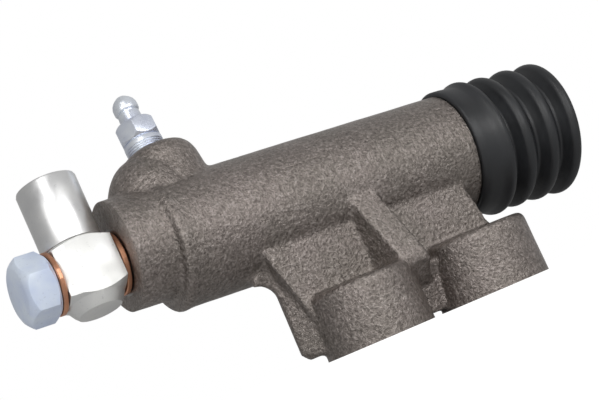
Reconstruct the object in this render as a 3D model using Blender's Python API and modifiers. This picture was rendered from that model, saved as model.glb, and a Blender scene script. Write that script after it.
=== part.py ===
# Clutch slave cylinder: a cast body with a side mounting flange, a banjo inlet on its closed end,
# a bleeder screw, the pressure pieces in the bore and a rubber dust boot.
# The mounting face is the plane z = 0. The bore runs along the bore frame's X axis, which dips
# a little towards the boot.

import math

import bmesh
import bpy
from mathutils import Matrix

mm = 0.001

# Running and seating gap between neighbouring pieces, the chamfer at each hole's mouth, and how far
# a shape that cuts or joins runs past the faces it meets.
gap = 0.3 * mm
hole_chamfer = 0.8 * mm
overrun = 1.0 * mm

# Bore and barrel.
bore_height = 47.4 * mm
bore_dip = math.radians(2.8)
bore_radius = 11.1 * mm
barrel_radius = 18.0 * mm
barrel_start = 12.0 * mm
barrel_shoulder = 1.6 * mm
collar_radius = 17.4 * mm
collar_length = 5.4 * mm
collar_chamfer = 0.6 * mm
body_length = 113.0 * mm
end_radius = 16.0 * mm
end_rise = 1.8 * mm
end_wall = 17.0 * mm
end_round = 0.9 * mm
feed_cone = 1.5 * mm

# Mounting flange: a web beside the barrel that stands on two round pads.
flange_side = 15.0 * mm
web_side = 13.7 * mm
web_thickness = 6.6 * mm
web_left = 35.8 * mm
web_right = 103.0 * mm
web_sweep = 7.0 * mm
web_taper = 2.8 * mm
pad_radius = 16.0 * mm
pad_height = 18.3 * mm
pad_draft = 0.5 * mm
pad_round = 2.0 * mm
pad_relief = 2.6 * mm
first_pad_x = 57.0 * mm
pad_spacing = 39.0 * mm
bolt_hole_radius = 4.25 * mm
bolt_hole_depth = 14.0 * mm
gusset_x = 69.2 * mm
gusset_top_width = 6.8 * mm
gusset_foot_width = 9.2 * mm
gusset_slant = 3.0 * mm
gusset_top_reach = 2.0 * mm
gusset_reach = 10.6 * mm
gusset_edge = 1.6 * mm
valley_reach = 3.6 * mm
valley_relief = 1.2 * mm

# Inlet: bolt, washers, block and port sleeve on the closed end.
inlet_lean = math.radians(11.5)
inlet_hole_spare = 2.0 * mm
feed_radius = 2.2 * mm
washer_radius = 9.0 * mm
washer_thickness = 1.5 * mm
block_length = 16.8 * mm
block_width = 17.0 * mm
block_chamfer_length = 2.0 * mm
block_chamfer_width = 1.5 * mm
block_below = 11.3 * mm
block_above = 8.4 * mm
block_hole_clearance = 0.7 * mm
sleeve_radius = 8.5 * mm
sleeve_bore = 5.6 * mm
sleeve_top = 28.0 * mm
sleeve_rim = 0.7 * mm
sleeve_floor = 6.0 * mm
bolt_head_across_flats = 19.0 * mm
bolt_head_height = 9.2 * mm
bolt_head_turn = math.radians(-9)
bolt_shank_radius = 5.9 * mm
bolt_shank_reach = 11.0 * mm
bolt_undercut_depth = 1.0 * mm
bolt_undercut_length = 8.0 * mm
bolt_drill_radius = 2.4 * mm
bolt_port_radius = 1.7 * mm

# Bleeder screw in its boss.
bleeder_x = 22.3 * mm
bleeder_lean = math.radians(16.0)
bleeder_boss_top = 28.4 * mm
bleeder_boss_radius = 11.6 * mm
bleeder_boss_shift = 1.2 * mm
bleeder_boss_crown = 3.4 * mm
bleeder_boss_face = 8.6 * mm
bleeder_skirt_radius = 12.8 * mm
bleeder_skirt_shift = -2.2 * mm
bleeder_skirt_height = 7.6 * mm
bleeder_thread_radius = 3.9 * mm
bleeder_seat_depth = 12.4 * mm
bleeder_seat_cone = 2.4 * mm
bleeder_collar_radius = 5.6 * mm
bleeder_collar_height = 4.3 * mm
bleeder_across_flats = 11.0 * mm
bleeder_hex_height = 5.6 * mm
bleeder_hex_turn = math.radians(33)
bleeder_neck_radius = 3.0 * mm
bleeder_neck_height = 4.2 * mm
bleeder_tip_radius = 3.6 * mm
bleeder_tip_height = 5.2 * mm
bleeder_drill_radius = 1.0 * mm

# Pieces in the bore, in order from the open end.
stop_ring_thickness = 1.4 * mm
stop_ring_inset = 2.8 * mm
stop_ring_depth = 1.2 * mm
stop_ring_reach = 1.6 * mm
stop_ring_opening = math.radians(40)
piston_length = 32.0 * mm
piston_edge = 0.5 * mm
piston_front_land = 5.0 * mm
piston_rear_land = 2.5 * mm
piston_waist_depth = 1.6 * mm
rod_seat_radius = 5.0 * mm
rod_seat_depth = 15.0 * mm
rod_seat_chamfer = 1.2 * mm
rear_seal_inset = 6.0 * mm
rear_seal_width = 4.5 * mm
seal_groove_depth = 2.8 * mm
cup_length = 6.6 * mm
cup_wall = 2.2 * mm
spring_seat_edge = 0.7 * mm
spring_seat_flange = 1.0 * mm
spring_wire = 1.6 * mm
spring_turns = 6.5
spring_flat_turns = 0.8
spring_flat_climb = 1.1
spring_large_radius = 9.4 * mm
spring_small_radius = 6.2 * mm

# Rubber dust boot on the open end.
boot_cuff_length = 9.4 * mm
boot_cuff_radius = 19.1 * mm
boot_bead_radius = 20.4 * mm
boot_bead_round = 1.7 * mm
boot_rib_radius = 19.9 * mm
boot_rib_round = 1.9 * mm
boot_valley_radius = 16.4 * mm
boot_rib_pitch = 7.8 * mm
boot_rib_count = 3
boot_wall = 1.7 * mm
boot_end_reach = 6.4 * mm
boot_lip_radius = 7.6 * mm
boot_mouth_radius = 5.2 * mm
boot_lip_length = 2.6 * mm
boot_groove_inset = 1.2 * mm
boot_groove_width = 2.4 * mm
boot_groove_depth = 1.3 * mm

round_steps = 40

# Turns a round form's facets a little, so that its corners stay clear of its neighbour's planes.
facet_turn = math.radians(3.2)

# The barrel ends at the collar, and the boot's cuff starts right behind that shoulder.
barrel_end = body_length - collar_length
boot_start = barrel_end + gap
groove_low = boot_start + boot_groove_inset
groove_high = groove_low + boot_groove_width

# The bolt's shank sets the holes it passes through.
inlet_hole_radius = bolt_shank_radius + gap
inlet_hole_depth = bolt_shank_reach + inlet_hole_spare
block_hole_radius = bolt_shank_radius + block_hole_clearance

# Stack of the inlet along the bore frame's X, counted outwards from the closed end.
block_near = -washer_thickness - 2 * gap
block_far = block_near - block_length
head_seat = block_far - washer_thickness - 2 * gap
head_end = head_seat - bolt_head_height
inlet_x = (block_near + block_far) / 2

# Stack of the bore pieces, counted back from the stop ring.
stop_ring_outer = body_length - stop_ring_inset
stop_ring_inner = stop_ring_outer - stop_ring_thickness
piston_outer = stop_ring_inner - gap
piston_inner = piston_outer - piston_length
cup_outer = piston_inner - gap
cup_inner = cup_outer - cup_length
running_radius = bore_radius - gap

# The boot's ribs follow its bead at an even pitch.
bead_x = boot_start + boot_cuff_length
first_rib_x = bead_x + boot_rib_pitch * 0.9
last_rib_x = first_rib_x + boot_rib_pitch * (boot_rib_count - 1)
boot_end = last_rib_x + boot_end_reach

# The model's origin is under the middle of its envelope, on the mounting face.
origin_x = (boot_end + head_end) / 2 * math.cos(bore_dip)
origin_y = (boot_bead_radius - flange_side - pad_radius) / 2


def clear_scene():
    for item in list(bpy.data.objects):
        bpy.data.objects.remove(item, do_unlink=True)


def make_collection(name):
    collection = bpy.data.collections.new(name)
    bpy.context.scene.collection.children.link(collection)
    return collection


def make_material(name, colour, roughness, metallic):
    material = bpy.data.materials.new(name)
    material.use_nodes = True
    shader = material.node_tree.nodes["Principled BSDF"]
    shader.inputs["Base Color"].default_value = (*colour, 1.0)
    shader.inputs["Roughness"].default_value = roughness
    shader.inputs["Metallic"].default_value = metallic
    material.diffuse_color = (*colour, 1.0)
    return material


def make_empty(name, parent, location=(0, 0, 0), rotation=(0, 0, 0)):
    empty = bpy.data.objects.new(name, None)
    empty.empty_display_size = 10 * mm
    empty.location = location
    empty.rotation_euler = rotation
    empty.parent = parent
    frames.objects.link(empty)
    return empty


def add_object(name, mesh, parent, collection, location=(0, 0, 0), rotation=(0, 0, 0)):
    item = bpy.data.objects.new(name, mesh)
    item.location = location
    item.rotation_euler = rotation
    item.parent = parent
    collection.objects.link(item)
    if collection is cutters:
        item.hide_render = True
        item.display_type = "WIRE"
    return item


def give_material(item, material):
    item.data.materials.clear()
    item.data.materials.append(material)


def shade_round(item, angle=35):
    item.data.shade_smooth()
    item.data.set_sharp_from_angle(angle=math.radians(angle))


def arc(centre, radius, start, end, steps):
    # Points (height, radius) on an arc in a turned profile; angles are in degrees from the axis.
    points = []
    for step in range(steps + 1):
        angle = math.radians(start + (end - start) * step / steps)
        points.append((centre[0] + radius * math.cos(angle), centre[1] + radius * math.sin(angle)))
    return points


def turned_mesh(name, profile, steps=round_steps):
    # Turns a profile of (height, radius) points about Z into one closed skin. A profile that starts
    # and ends on the axis is a solid, and any other profile is closed into a ring.
    points = list(profile)
    area = 0.0
    for (z_a, r_a), (z_b, r_b) in zip(points, points[1:] + points[:1]):
        area += r_a * z_b - r_b * z_a
    if area > 0:
        points.reverse()
    solid = points[0][1] == 0 and points[-1][1] == 0
    mesh = bpy.data.meshes.new(name)
    edges = [(i, i + 1) for i in range(len(points) - 1)]
    if not solid:
        edges.append((len(points) - 1, 0))
    mesh.from_pydata([(radius, 0, height) for height, radius in points], edges, [])
    return mesh


def turned(name, profile, parent, collection, location=(0, 0, 0), rotation=(0, 0, 0), steps=round_steps):
    item = add_object(name, turned_mesh(name, profile), parent, collection, location, rotation)
    screw = item.modifiers.new("turn", "SCREW")
    screw.axis = "Z"
    screw.angle = math.tau
    screw.screw_offset = 0.0
    screw.steps = steps
    screw.render_steps = steps
    screw.use_merge_vertices = True
    screw.merge_threshold = 0.00001
    screw.use_smooth_shade = True
    return item


def turned_on_bore(name, profile, collection, steps=round_steps, rise=0.0):
    # The profile's height runs along the bore.
    return turned(name, profile, bore_frame, collection, (0, 0, rise), along_bore, steps)


def boolean(item, other, operation):
    modifier = item.modifiers.new(other.name, "BOOLEAN")
    modifier.operation = operation
    modifier.solver = "EXACT"
    modifier.object = other
    return modifier


def prism(name, sides, across_flats, low, high, parent, collection, rotation=(0, 0, 0), turn=0.0):
    # A bar with flat sides, from low to high along its own Z.
    mesh = bpy.data.meshes.new(name)
    bm = bmesh.new()
    corner_radius = across_flats / 2 / math.cos(math.pi / sides)
    bmesh.ops.create_cone(bm, cap_ends=True, segments=sides, radius1=corner_radius,
                          radius2=corner_radius, depth=high - low)
    bmesh.ops.rotate(bm, verts=bm.verts, cent=(0, 0, 0), matrix=Matrix.Rotation(turn, 3, "Z"))
    bmesh.ops.translate(bm, verts=bm.verts, vec=(0, 0, (high + low) / 2))
    bm.to_mesh(mesh)
    bm.free()
    return add_object(name, mesh, parent, collection, (0, 0, 0), rotation)


def outline_plate(name, points, thickness, parent, collection, location, rotation):
    # A flat outline, made as a filled 2D curve and turned into a mesh.
    curve = bpy.data.curves.new(name + "_outline", "CURVE")
    curve.dimensions = "2D"
    curve.fill_mode = "BOTH"
    curve.extrude = thickness / 2
    spline = curve.splines.new("POLY")
    spline.points.add(len(points) - 1)
    for point, (x, y) in zip(spline.points, points):
        point.co = (x, y, 0, 1)
    spline.use_cyclic_u = True
    guide = add_object(name + "_outline", curve, parent, collection, location, rotation)
    bpy.context.view_layer.update()
    return curve_to_mesh(name, guide, parent, collection)


def curve_to_mesh(name, guide, parent, collection):
    evaluated = guide.evaluated_get(bpy.context.evaluated_depsgraph_get())
    mesh = bpy.data.meshes.new_from_object(evaluated)
    mesh.name = name
    bm = bmesh.new()
    bm.from_mesh(mesh)
    bmesh.ops.remove_doubles(bm, verts=bm.verts, dist=0.000005)
    bmesh.ops.recalc_face_normals(bm, faces=bm.faces)
    bm.to_mesh(mesh)
    bm.free()
    item = add_object(name, mesh, parent, collection, guide.location.copy(), guide.rotation_euler.copy())
    bpy.data.objects.remove(guide, do_unlink=True)
    return item


def bore_z(x):
    # Height of the bore's axis above the mounting face at x.
    return bore_height - x * math.tan(bore_dip)


def build_body():
    body = turned_on_bore("cylinder_body", [
        (barrel_start, 0),
        (barrel_start, barrel_radius - barrel_shoulder * 0.8),
        (barrel_start + barrel_shoulder * 0.35, barrel_radius - barrel_shoulder * 0.25),
        (barrel_start + barrel_shoulder, barrel_radius),
        (barrel_end, barrel_radius),
        (barrel_end, collar_radius),
        (body_length - collar_chamfer, collar_radius),
        (body_length, collar_radius - collar_chamfer),
        (body_length, 0),
    ], parts, 56)

    end_section_length = barrel_start + barrel_radius * 0.2
    end_profile = [(0, 0)]
    end_profile += arc((end_round, end_radius - end_round), end_round, 180, 90, 3)
    end_profile += [(end_section_length, end_radius), (end_section_length, 0)]
    boolean(body, turned_on_bore("end_section", end_profile, cutters, 56, end_rise), "UNION")

    build_bleeder_boss(body)
    build_flange(body)

    cut_bore = turned_on_bore("bore_cut", [
        (end_wall - feed_cone, 0),
        (end_wall, feed_radius * 2),
        (end_wall, bore_radius),
        (stop_ring_inner - gap, bore_radius),
        (stop_ring_inner - gap, bore_radius + stop_ring_depth),
        (stop_ring_outer + gap, bore_radius + stop_ring_depth),
        (stop_ring_outer + gap, bore_radius),
        (body_length - hole_chamfer, bore_radius),
        (body_length + overrun, bore_radius + hole_chamfer + overrun),
        (body_length + overrun, 0),
    ], cutters)
    boolean(body, cut_bore, "DIFFERENCE")

    cut_inlet = turned_on_bore("inlet_cut", [
        (-overrun, 0),
        (-overrun, inlet_hole_radius + hole_chamfer + overrun),
        (hole_chamfer, inlet_hole_radius),
        (inlet_hole_depth, inlet_hole_radius),
        (inlet_hole_depth + feed_cone, feed_radius),
        (end_wall + overrun, feed_radius),
        (end_wall + overrun, 0),
    ], cutters)
    boolean(body, cut_inlet, "DIFFERENCE")

    groove_floor = collar_radius - boot_groove_depth
    cut_groove = turned_on_bore("boot_groove_cut", [
        (groove_low, groove_floor),
        (groove_low, barrel_radius + overrun),
        (groove_high, barrel_radius + overrun),
        (groove_high, groove_floor),
    ], cutters)
    boolean(body, cut_groove, "DIFFERENCE")

    seat = bleeder_boss_top - bleeder_seat_depth
    feed = bleeder_drill_radius + gap
    thread = bleeder_thread_radius + gap
    cut_bleeder = turned("bleeder_cut", [
        (bore_radius - overrun, 0),
        (bore_radius - overrun, feed),
        (seat, feed),
        (seat + bleeder_seat_cone, thread),
        (bleeder_boss_top - hole_chamfer, thread),
        (bleeder_boss_top + overrun, thread + hole_chamfer + overrun),
        (bleeder_boss_top + overrun, 0),
    ], bleeder_frame, cutters, steps=32)
    boolean(body, cut_bleeder, "DIFFERENCE")

    for index in range(2):
        pad_x = first_pad_x + pad_spacing * index
        cut_bolt = turned(f"bolt_hole_cut_{index + 1}", [
            (-overrun, 0),
            (-overrun, bolt_hole_radius + hole_chamfer + overrun),
            (hole_chamfer, bolt_hole_radius),
            (bolt_hole_depth - bolt_hole_radius * 0.5, bolt_hole_radius),
            (bolt_hole_depth, 0),
        ], mount_frame, cutters, (pad_x, -flange_side, 0), steps=32)
        boolean(body, cut_bolt, "DIFFERENCE")

    give_material(body, cast_iron)
    return body


def build_bleeder_boss(body):
    # A crowned boss round the bleeder's hole, with a skirt that slopes down to the closed end.
    shoulder = bleeder_boss_radius - bleeder_boss_crown * 0.2
    boss = turned("bleeder_boss", [
        (bore_radius + overrun, 0),
        (bore_radius + overrun, bleeder_boss_radius + overrun),
        (bleeder_boss_top - 2 * bleeder_boss_crown, bleeder_boss_radius),
        (bleeder_boss_top - bleeder_boss_crown, shoulder),
        (bleeder_boss_top - bleeder_boss_crown * 0.45, shoulder - bleeder_boss_crown * 0.2),
        (bleeder_boss_top - bleeder_boss_crown * 0.12, bleeder_boss_face + bleeder_boss_crown * 0.25),
        (bleeder_boss_top, bleeder_boss_face),
        (bleeder_boss_top, 0),
    ], bleeder_frame, cutters, (bleeder_boss_shift, 0, 0), (0, 0, facet_turn), 48)
    boolean(body, boss, "UNION")

    skirt_high = bleeder_boss_top - bleeder_boss_crown
    skirt = turned("bleeder_boss_skirt", [
        (bore_radius + overrun, 0),
        (bore_radius + overrun, bleeder_skirt_radius),
        (skirt_high - bleeder_skirt_height, bleeder_skirt_radius),
        (skirt_high, bleeder_skirt_radius / 2),
        (skirt_high, 0),
    ], bleeder_frame, cutters, (bleeder_skirt_shift, 0, 0), (0, 0, 2 * facet_turn), 48)
    boolean(body, skirt, "UNION")


def build_flange(body):
    # The web's outline is drawn in the plane of x and height, with a sweep up into the barrel.
    root = bore_z(web_left) - barrel_radius * 0.13
    sweep_centre = bore_z(web_left) - barrel_radius - web_sweep + overrun
    outline = [
        (web_left + web_sweep * 0.3, pad_relief),
        (web_right + web_taper * 0.2, pad_relief),
        (web_right, pad_height + overrun),
        (web_right - web_taper, bore_z(web_right) - barrel_radius * 0.55),
        (web_right - web_taper, bore_z(web_right)),
        (web_left - web_sweep, root),
    ]
    for step in range(6):
        angle = math.radians(90 - 90 * step / 5)
        x = web_left - web_sweep + web_sweep * math.cos(angle)
        outline.append((x, sweep_centre + web_sweep * math.sin(angle)))
    outline.append((web_left + web_sweep * 0.03, pad_relief + web_sweep * 0.3))
    web = outline_plate("flange_web", outline, web_thickness, mount_frame, cutters,
                        (0, -web_side + web_thickness / 2, 0), (math.radians(90), 0, 0))
    boolean(body, web, "UNION")

    for index in range(2):
        pad_x = first_pad_x + pad_spacing * index
        profile = [(0, 0), (0, pad_radius)]
        profile += arc((pad_height - pad_round, pad_radius - pad_draft - pad_round), pad_round, 90, 0, 3)
        profile.append((pad_height, 0))
        pad = turned(f"mounting_pad_{index + 1}", profile, mount_frame, cutters,
                     (pad_x, -flange_side, 0), (0, 0, facet_turn), 48)
        boolean(body, pad, "UNION")

    boolean(body, build_gusset(), "UNION")
    boolean(body, build_valley(), "UNION")


def build_gusset():
    # A sloping rib, narrow at the barrel, that widens and ends on top of the pads.
    root = web_side - web_thickness * 0.4
    top = bore_z(gusset_x) - barrel_radius * 0.22
    outline = [
        (-root, top),
        (-flange_side - gusset_top_reach, top),
        (-flange_side - gusset_reach, pad_height),
        (-flange_side - gusset_reach, pad_height - gusset_edge),
        (-flange_side - valley_reach + overrun, pad_height - 4 * gusset_edge),
        (-root, pad_height - 4 * gusset_edge),
    ]
    gusset = outline_plate("gusset", outline, gusset_foot_width, mount_frame, cutters,
                           (gusset_x, 0, 0), (math.radians(90), 0, math.radians(90)))
    for vert in gusset.data.vertices:
        share = min(max((vert.co.y - pad_height) / (top - pad_height), 0), 1)
        width = gusset_foot_width + (gusset_top_width - gusset_foot_width) * share
        vert.co.z = math.copysign(width / 2, vert.co.z) + gusset_slant * (0.5 - share)
    return gusset


def build_valley():
    # The wall that closes the gap between the pads, just clear of the mounting face.
    left = first_pad_x + pad_radius * 0.6
    right = first_pad_x + pad_spacing - pad_radius * 0.8
    root = web_side - web_thickness * 0.4
    front = flange_side + valley_reach
    high = pad_height - 2.5 * gusset_edge
    outline = [(-front, valley_relief), (-front, high), (-root, high), (-root, valley_relief)]
    return outline_plate("pad_valley", outline, right - left, mount_frame, cutters,
                         ((left + right) / 2, 0, 0), (math.radians(90), 0, math.radians(90)))


def build_inlet():
    for name, outer_end in (("inner_copper_washer", -gap), ("outer_copper_washer", block_far - gap)):
        inner_end = outer_end - washer_thickness
        edge = washer_thickness * 0.2
        hole = inlet_hole_radius
        washer = turned_on_bore(name, [
            (inner_end, hole),
            (inner_end, washer_radius - edge),
            (inner_end + edge, washer_radius),
            (outer_end - edge, washer_radius),
            (outer_end, washer_radius - edge),
            (outer_end, hole),
        ], parts)
        give_material(washer, copper)

    build_block()
    build_sleeve()
    build_banjo_bolt()


def build_block():
    # A square bar whose ends are turned: its corners end in arcs below the crown of each face.
    # The two edges beside the bolt's head are chamfered.
    half_length = block_length / 2
    half_width = block_width / 2
    outline = [
        (half_length, -half_width),
        (half_length, half_width),
        (block_chamfer_length - half_length, half_width),
        (-half_length, half_width - block_chamfer_width),
        (-half_length, block_chamfer_width - half_width),
        (block_chamfer_length - half_length, -half_width),
    ]
    block = outline_plate("banjo_block", outline, block_below + block_above, inlet_frame, parts,
                          (0, 0, (block_above - block_below) / 2), (0, 0, 0))
    corner = math.hypot(half_length, half_width) + overrun
    turned_ends = turned("block_turned_ends", [
        (-block_below - overrun, 0),
        (-block_below - overrun, half_width * 0.72),
        (-block_below + block_below * 0.04, half_width * 0.8),
        (-block_below * 0.72, half_width),
        (-block_below * 0.5, corner),
        (block_above * 0.7, corner),
        (block_above * 0.97, half_width),
        (block_above + overrun, half_width * 0.96),
        (block_above + overrun, 0),
    ], inlet_frame, cutters, steps=48)
    boolean(block, turned_ends, "INTERSECT")

    cross_hole = turned_on_bore("block_cross_cut", [
        (block_far - overrun, 0),
        (block_far - overrun, block_hole_radius),
        (block_near + overrun, block_hole_radius),
        (block_near + overrun, 0),
    ], cutters, 40)
    boolean(block, cross_hole, "DIFFERENCE")

    riser = turned("block_riser_cut", [
        (0, 0),
        (0, feed_radius),
        (block_above + overrun, feed_radius),
        (block_above + overrun, 0),
    ], inlet_frame, cutters, steps=24)
    boolean(block, riser, "DIFFERENCE")
    give_material(block, nickel)
    return block


def build_sleeve():
    base = block_above + gap
    floor = base + sleeve_floor
    rim = sleeve_rim
    sleeve = turned("port_sleeve", [
        (base, feed_radius),
        (base, sleeve_radius - rim),
        (base + rim, sleeve_radius),
        (sleeve_top - rim, sleeve_radius),
        (sleeve_top - rim * 0.3, sleeve_radius - rim * 0.3),
        (sleeve_top, sleeve_radius - rim),
        (sleeve_top, sleeve_bore + rim),
        (sleeve_top - rim, sleeve_bore),
        (floor, sleeve_bore),
        (floor, feed_radius * 1.6),
        (floor + feed_radius, feed_radius),
    ], inlet_frame, parts, steps=48)
    give_material(sleeve, bright_steel)
    return sleeve


def build_banjo_bolt():
    head = prism("banjo_bolt", 6, bolt_head_across_flats, head_end, head_seat, bore_frame, parts,
                 along_bore, turn=bolt_head_turn)
    flat = bolt_head_across_flats / 2
    corner = flat / math.cos(math.radians(30)) + overrun
    bevel = corner - flat
    turned_head = turned_on_bore("bolt_head_turned", [
        (head_end - overrun, 0),
        (head_end - overrun, flat * 0.82),
        (head_end + bevel * 0.1, flat * 0.92),
        (head_end + bevel * 0.3, flat * 0.995),
        (head_end + bevel, corner),
        (head_seat - bevel * 0.6, corner),
        (head_seat - bevel * 0.2, flat),
        (head_seat + overrun, flat),
        (head_seat + overrun, 0),
    ], cutters, 48)
    boolean(head, turned_head, "INTERSECT")

    undercut = bolt_shank_radius - bolt_undercut_depth
    undercut_low = inlet_x - bolt_undercut_length / 2
    undercut_high = inlet_x + bolt_undercut_length / 2
    tip = bolt_shank_reach
    shank = turned_on_bore("bolt_shank", [
        (head_seat - overrun, 0),
        (head_seat - overrun, bolt_shank_radius),
        (undercut_low, bolt_shank_radius),
        (undercut_low + bolt_undercut_depth, undercut),
        (undercut_high - bolt_undercut_depth, undercut),
        (undercut_high, bolt_shank_radius),
        (tip - hole_chamfer, bolt_shank_radius),
        (tip, bolt_shank_radius - hole_chamfer),
        (tip, 0),
    ], cutters, 40)
    boolean(head, shank, "UNION")

    drill_floor = inlet_x - bolt_port_radius * 1.6
    drill = turned_on_bore("bolt_drill_cut", [
        (drill_floor, 0),
        (drill_floor + bolt_drill_radius * 0.6, bolt_drill_radius),
        (tip + overrun, bolt_drill_radius),
        (tip + overrun, 0),
    ], cutters, 24)
    boolean(head, drill, "DIFFERENCE")

    cross = turned("bolt_port_cut", [
        (-bolt_shank_radius - overrun, 0),
        (-bolt_shank_radius - overrun, bolt_port_radius),
        (bolt_shank_radius + overrun, bolt_port_radius),
        (bolt_shank_radius + overrun, 0),
    ], bore_frame, cutters, (inlet_x + bolt_port_radius * 0.5, 0, 0), steps=20)
    boolean(head, cross, "DIFFERENCE")
    give_material(head, blue_zinc)
    return head


def build_bleeder():
    hex_low = bleeder_boss_top + bleeder_collar_height
    hex_high = hex_low + bleeder_hex_height
    neck_high = hex_high + bleeder_neck_height
    tip_high = neck_high + bleeder_tip_height
    seat = bleeder_boss_top - bleeder_seat_depth

    bleeder = prism("bleeder_screw", 6, bleeder_across_flats, hex_low - gap, hex_high,
                    bleeder_frame, parts, turn=bleeder_hex_turn)
    flat = bleeder_across_flats / 2
    corner = flat / math.cos(math.radians(30)) + overrun
    bevel = corner - flat
    chamfer = turned("bleeder_hex_turned", [
        (hex_low - overrun, 0),
        (hex_low - overrun, flat * 0.9),
        (hex_low, flat * 0.98),
        (hex_low + bevel * 0.6, corner),
        (hex_high - bevel * 0.65, corner),
        (hex_high, flat * 0.96),
        (hex_high + overrun, flat * 0.9),
        (hex_high + overrun, 0),
    ], bleeder_frame, cutters, steps=36)
    boolean(bleeder, chamfer, "INTERSECT")

    tip_edge = bleeder_tip_radius * 0.15
    dome_start = neck_high + tip_edge * 2
    collar_low = bleeder_boss_top + gap
    collar_edge = bleeder_collar_height * 0.2
    profile = [
        (seat + gap, 0),
        (seat + gap, bleeder_drill_radius * 0.9),
        (seat + gap + bleeder_seat_cone, bleeder_thread_radius),
        (collar_low, bleeder_thread_radius),
        (collar_low, bleeder_collar_radius - collar_edge),
        (collar_low + collar_edge, bleeder_collar_radius),
        (hex_low - collar_edge, bleeder_collar_radius),
        (hex_low, bleeder_collar_radius - collar_edge),
        (hex_low, bleeder_neck_radius),
        (neck_high, bleeder_neck_radius),
        (neck_high + tip_edge, bleeder_tip_radius - tip_edge * 0.4),
        (dome_start, bleeder_tip_radius),
    ]
    dome_end = math.acos((bleeder_drill_radius + gap * 1.5) / bleeder_tip_radius)
    dome_steps = 5
    for step in range(1, dome_steps + 1):
        angle = dome_end * step / dome_steps
        height = dome_start + (tip_high - dome_start) * math.sin(angle) / math.sin(dome_end)
        profile.append((height, bleeder_tip_radius * math.cos(angle)))
    profile.append((tip_high, 0))
    stem = turned("bleeder_stem", profile, bleeder_frame, cutters, steps=30)
    boolean(bleeder, stem, "UNION")

    drill_floor = seat + bleeder_seat_cone * 2
    drill = turned("bleeder_drill_cut", [
        (drill_floor, 0),
        (drill_floor + bleeder_drill_radius * 0.6, bleeder_drill_radius),
        (tip_high + overrun, bleeder_drill_radius),
        (tip_high + overrun, 0),
    ], bleeder_frame, cutters, steps=16)
    boolean(bleeder, drill, "DIFFERENCE")

    port = turned("bleeder_port_cut", [
        (0, 0),
        (0, bleeder_drill_radius * 0.8),
        (bleeder_thread_radius + overrun, bleeder_drill_radius * 0.8),
        (bleeder_thread_radius + overrun, 0),
    ], bleeder_frame, cutters, (0, 0, drill_floor + bleeder_drill_radius * 2), along_bore, steps=16)
    boolean(bleeder, port, "DIFFERENCE")
    give_material(bleeder, zinc)
    return bleeder


def build_bore_pieces():
    build_piston()

    groove_floor = running_radius - seal_groove_depth + gap
    seal_low = piston_outer - rear_seal_inset - rear_seal_width + gap
    seal_high = piston_outer - rear_seal_inset - gap
    seal_back = running_radius - seal_groove_depth * 0.45
    rear_seal = turned_on_bore("rear_seal", [
        (seal_low, groove_floor),
        (seal_low, seal_back),
        (seal_low + rear_seal_width * 0.15, running_radius),
        (seal_low + rear_seal_width * 0.35, running_radius),
        (seal_high, seal_back),
        (seal_high, groove_floor),
    ], parts)
    give_material(rear_seal, rubber)

    edge = cup_wall * 0.3
    cup = turned_on_bore("primary_cup", [
        (cup_outer, 0),
        (cup_outer, running_radius - edge),
        (cup_outer - edge, running_radius),
        (cup_inner + edge, running_radius),
        (cup_inner, running_radius - edge),
        (cup_inner, running_radius - cup_wall * 0.6),
        (cup_outer - cup_wall * 1.4, running_radius - cup_wall * 1.3),
        (cup_outer - cup_wall, running_radius - cup_wall * 1.7),
        (cup_outer - cup_wall, 0),
    ], parts)
    give_material(cup, rubber)

    # The spring seat's head sits in the cup, its flange behind the cup, and its stem in the spring.
    seat_face = cup_outer - cup_wall - gap
    seat_back = cup_inner - gap - spring_seat_flange
    head_radius = running_radius - cup_wall * 2
    flange_radius = spring_small_radius + spring_wire * 0.75
    stem_radius = spring_small_radius - spring_wire / 2 - gap
    seat = turned_on_bore("spring_seat", [
        (seat_face, 0),
        (seat_face, head_radius - spring_seat_edge),
        (seat_face - spring_seat_edge, head_radius),
        (cup_inner - gap, head_radius),
        (cup_inner - gap, flange_radius),
        (seat_back, flange_radius),
        (seat_back, stem_radius),
        (seat_back - spring_wire, stem_radius - spring_seat_edge),
        (seat_back - spring_wire, 0),
    ], parts)
    give_material(seat, nickel)

    build_spring(end_wall + gap, seat_back - gap)
    build_stop_ring()


def build_piston():
    seal_high = piston_outer - rear_seal_inset
    seal_low = seal_high - rear_seal_width
    seal_floor = running_radius - seal_groove_depth
    waist = running_radius - piston_waist_depth
    waist_slope = piston_waist_depth * 0.6
    seat_bottom = piston_outer - rod_seat_depth
    piston = turned_on_bore("piston", [
        (piston_inner, 0),
        (piston_inner, running_radius - piston_edge),
        (piston_inner + piston_edge, running_radius),
        (piston_inner + piston_front_land, running_radius),
        (piston_inner + piston_front_land + waist_slope, waist),
        (seal_low - piston_rear_land - waist_slope, waist),
        (seal_low - piston_rear_land, running_radius),
        (seal_low, running_radius),
        (seal_low, seal_floor),
        (seal_high, seal_floor),
        (seal_high, running_radius),
        (piston_outer - piston_edge, running_radius),
        (piston_outer, running_radius - piston_edge),
        (piston_outer, rod_seat_radius + rod_seat_chamfer),
        (piston_outer - rod_seat_chamfer, rod_seat_radius),
        (seat_bottom + rod_seat_radius * 0.7, rod_seat_radius),
        (seat_bottom + rod_seat_radius * 0.25, rod_seat_radius * 0.72),
        (seat_bottom + rod_seat_radius * 0.05, rod_seat_radius * 0.35),
        (seat_bottom, 0),
    ], parts)
    give_material(piston, anodised)
    return piston


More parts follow.
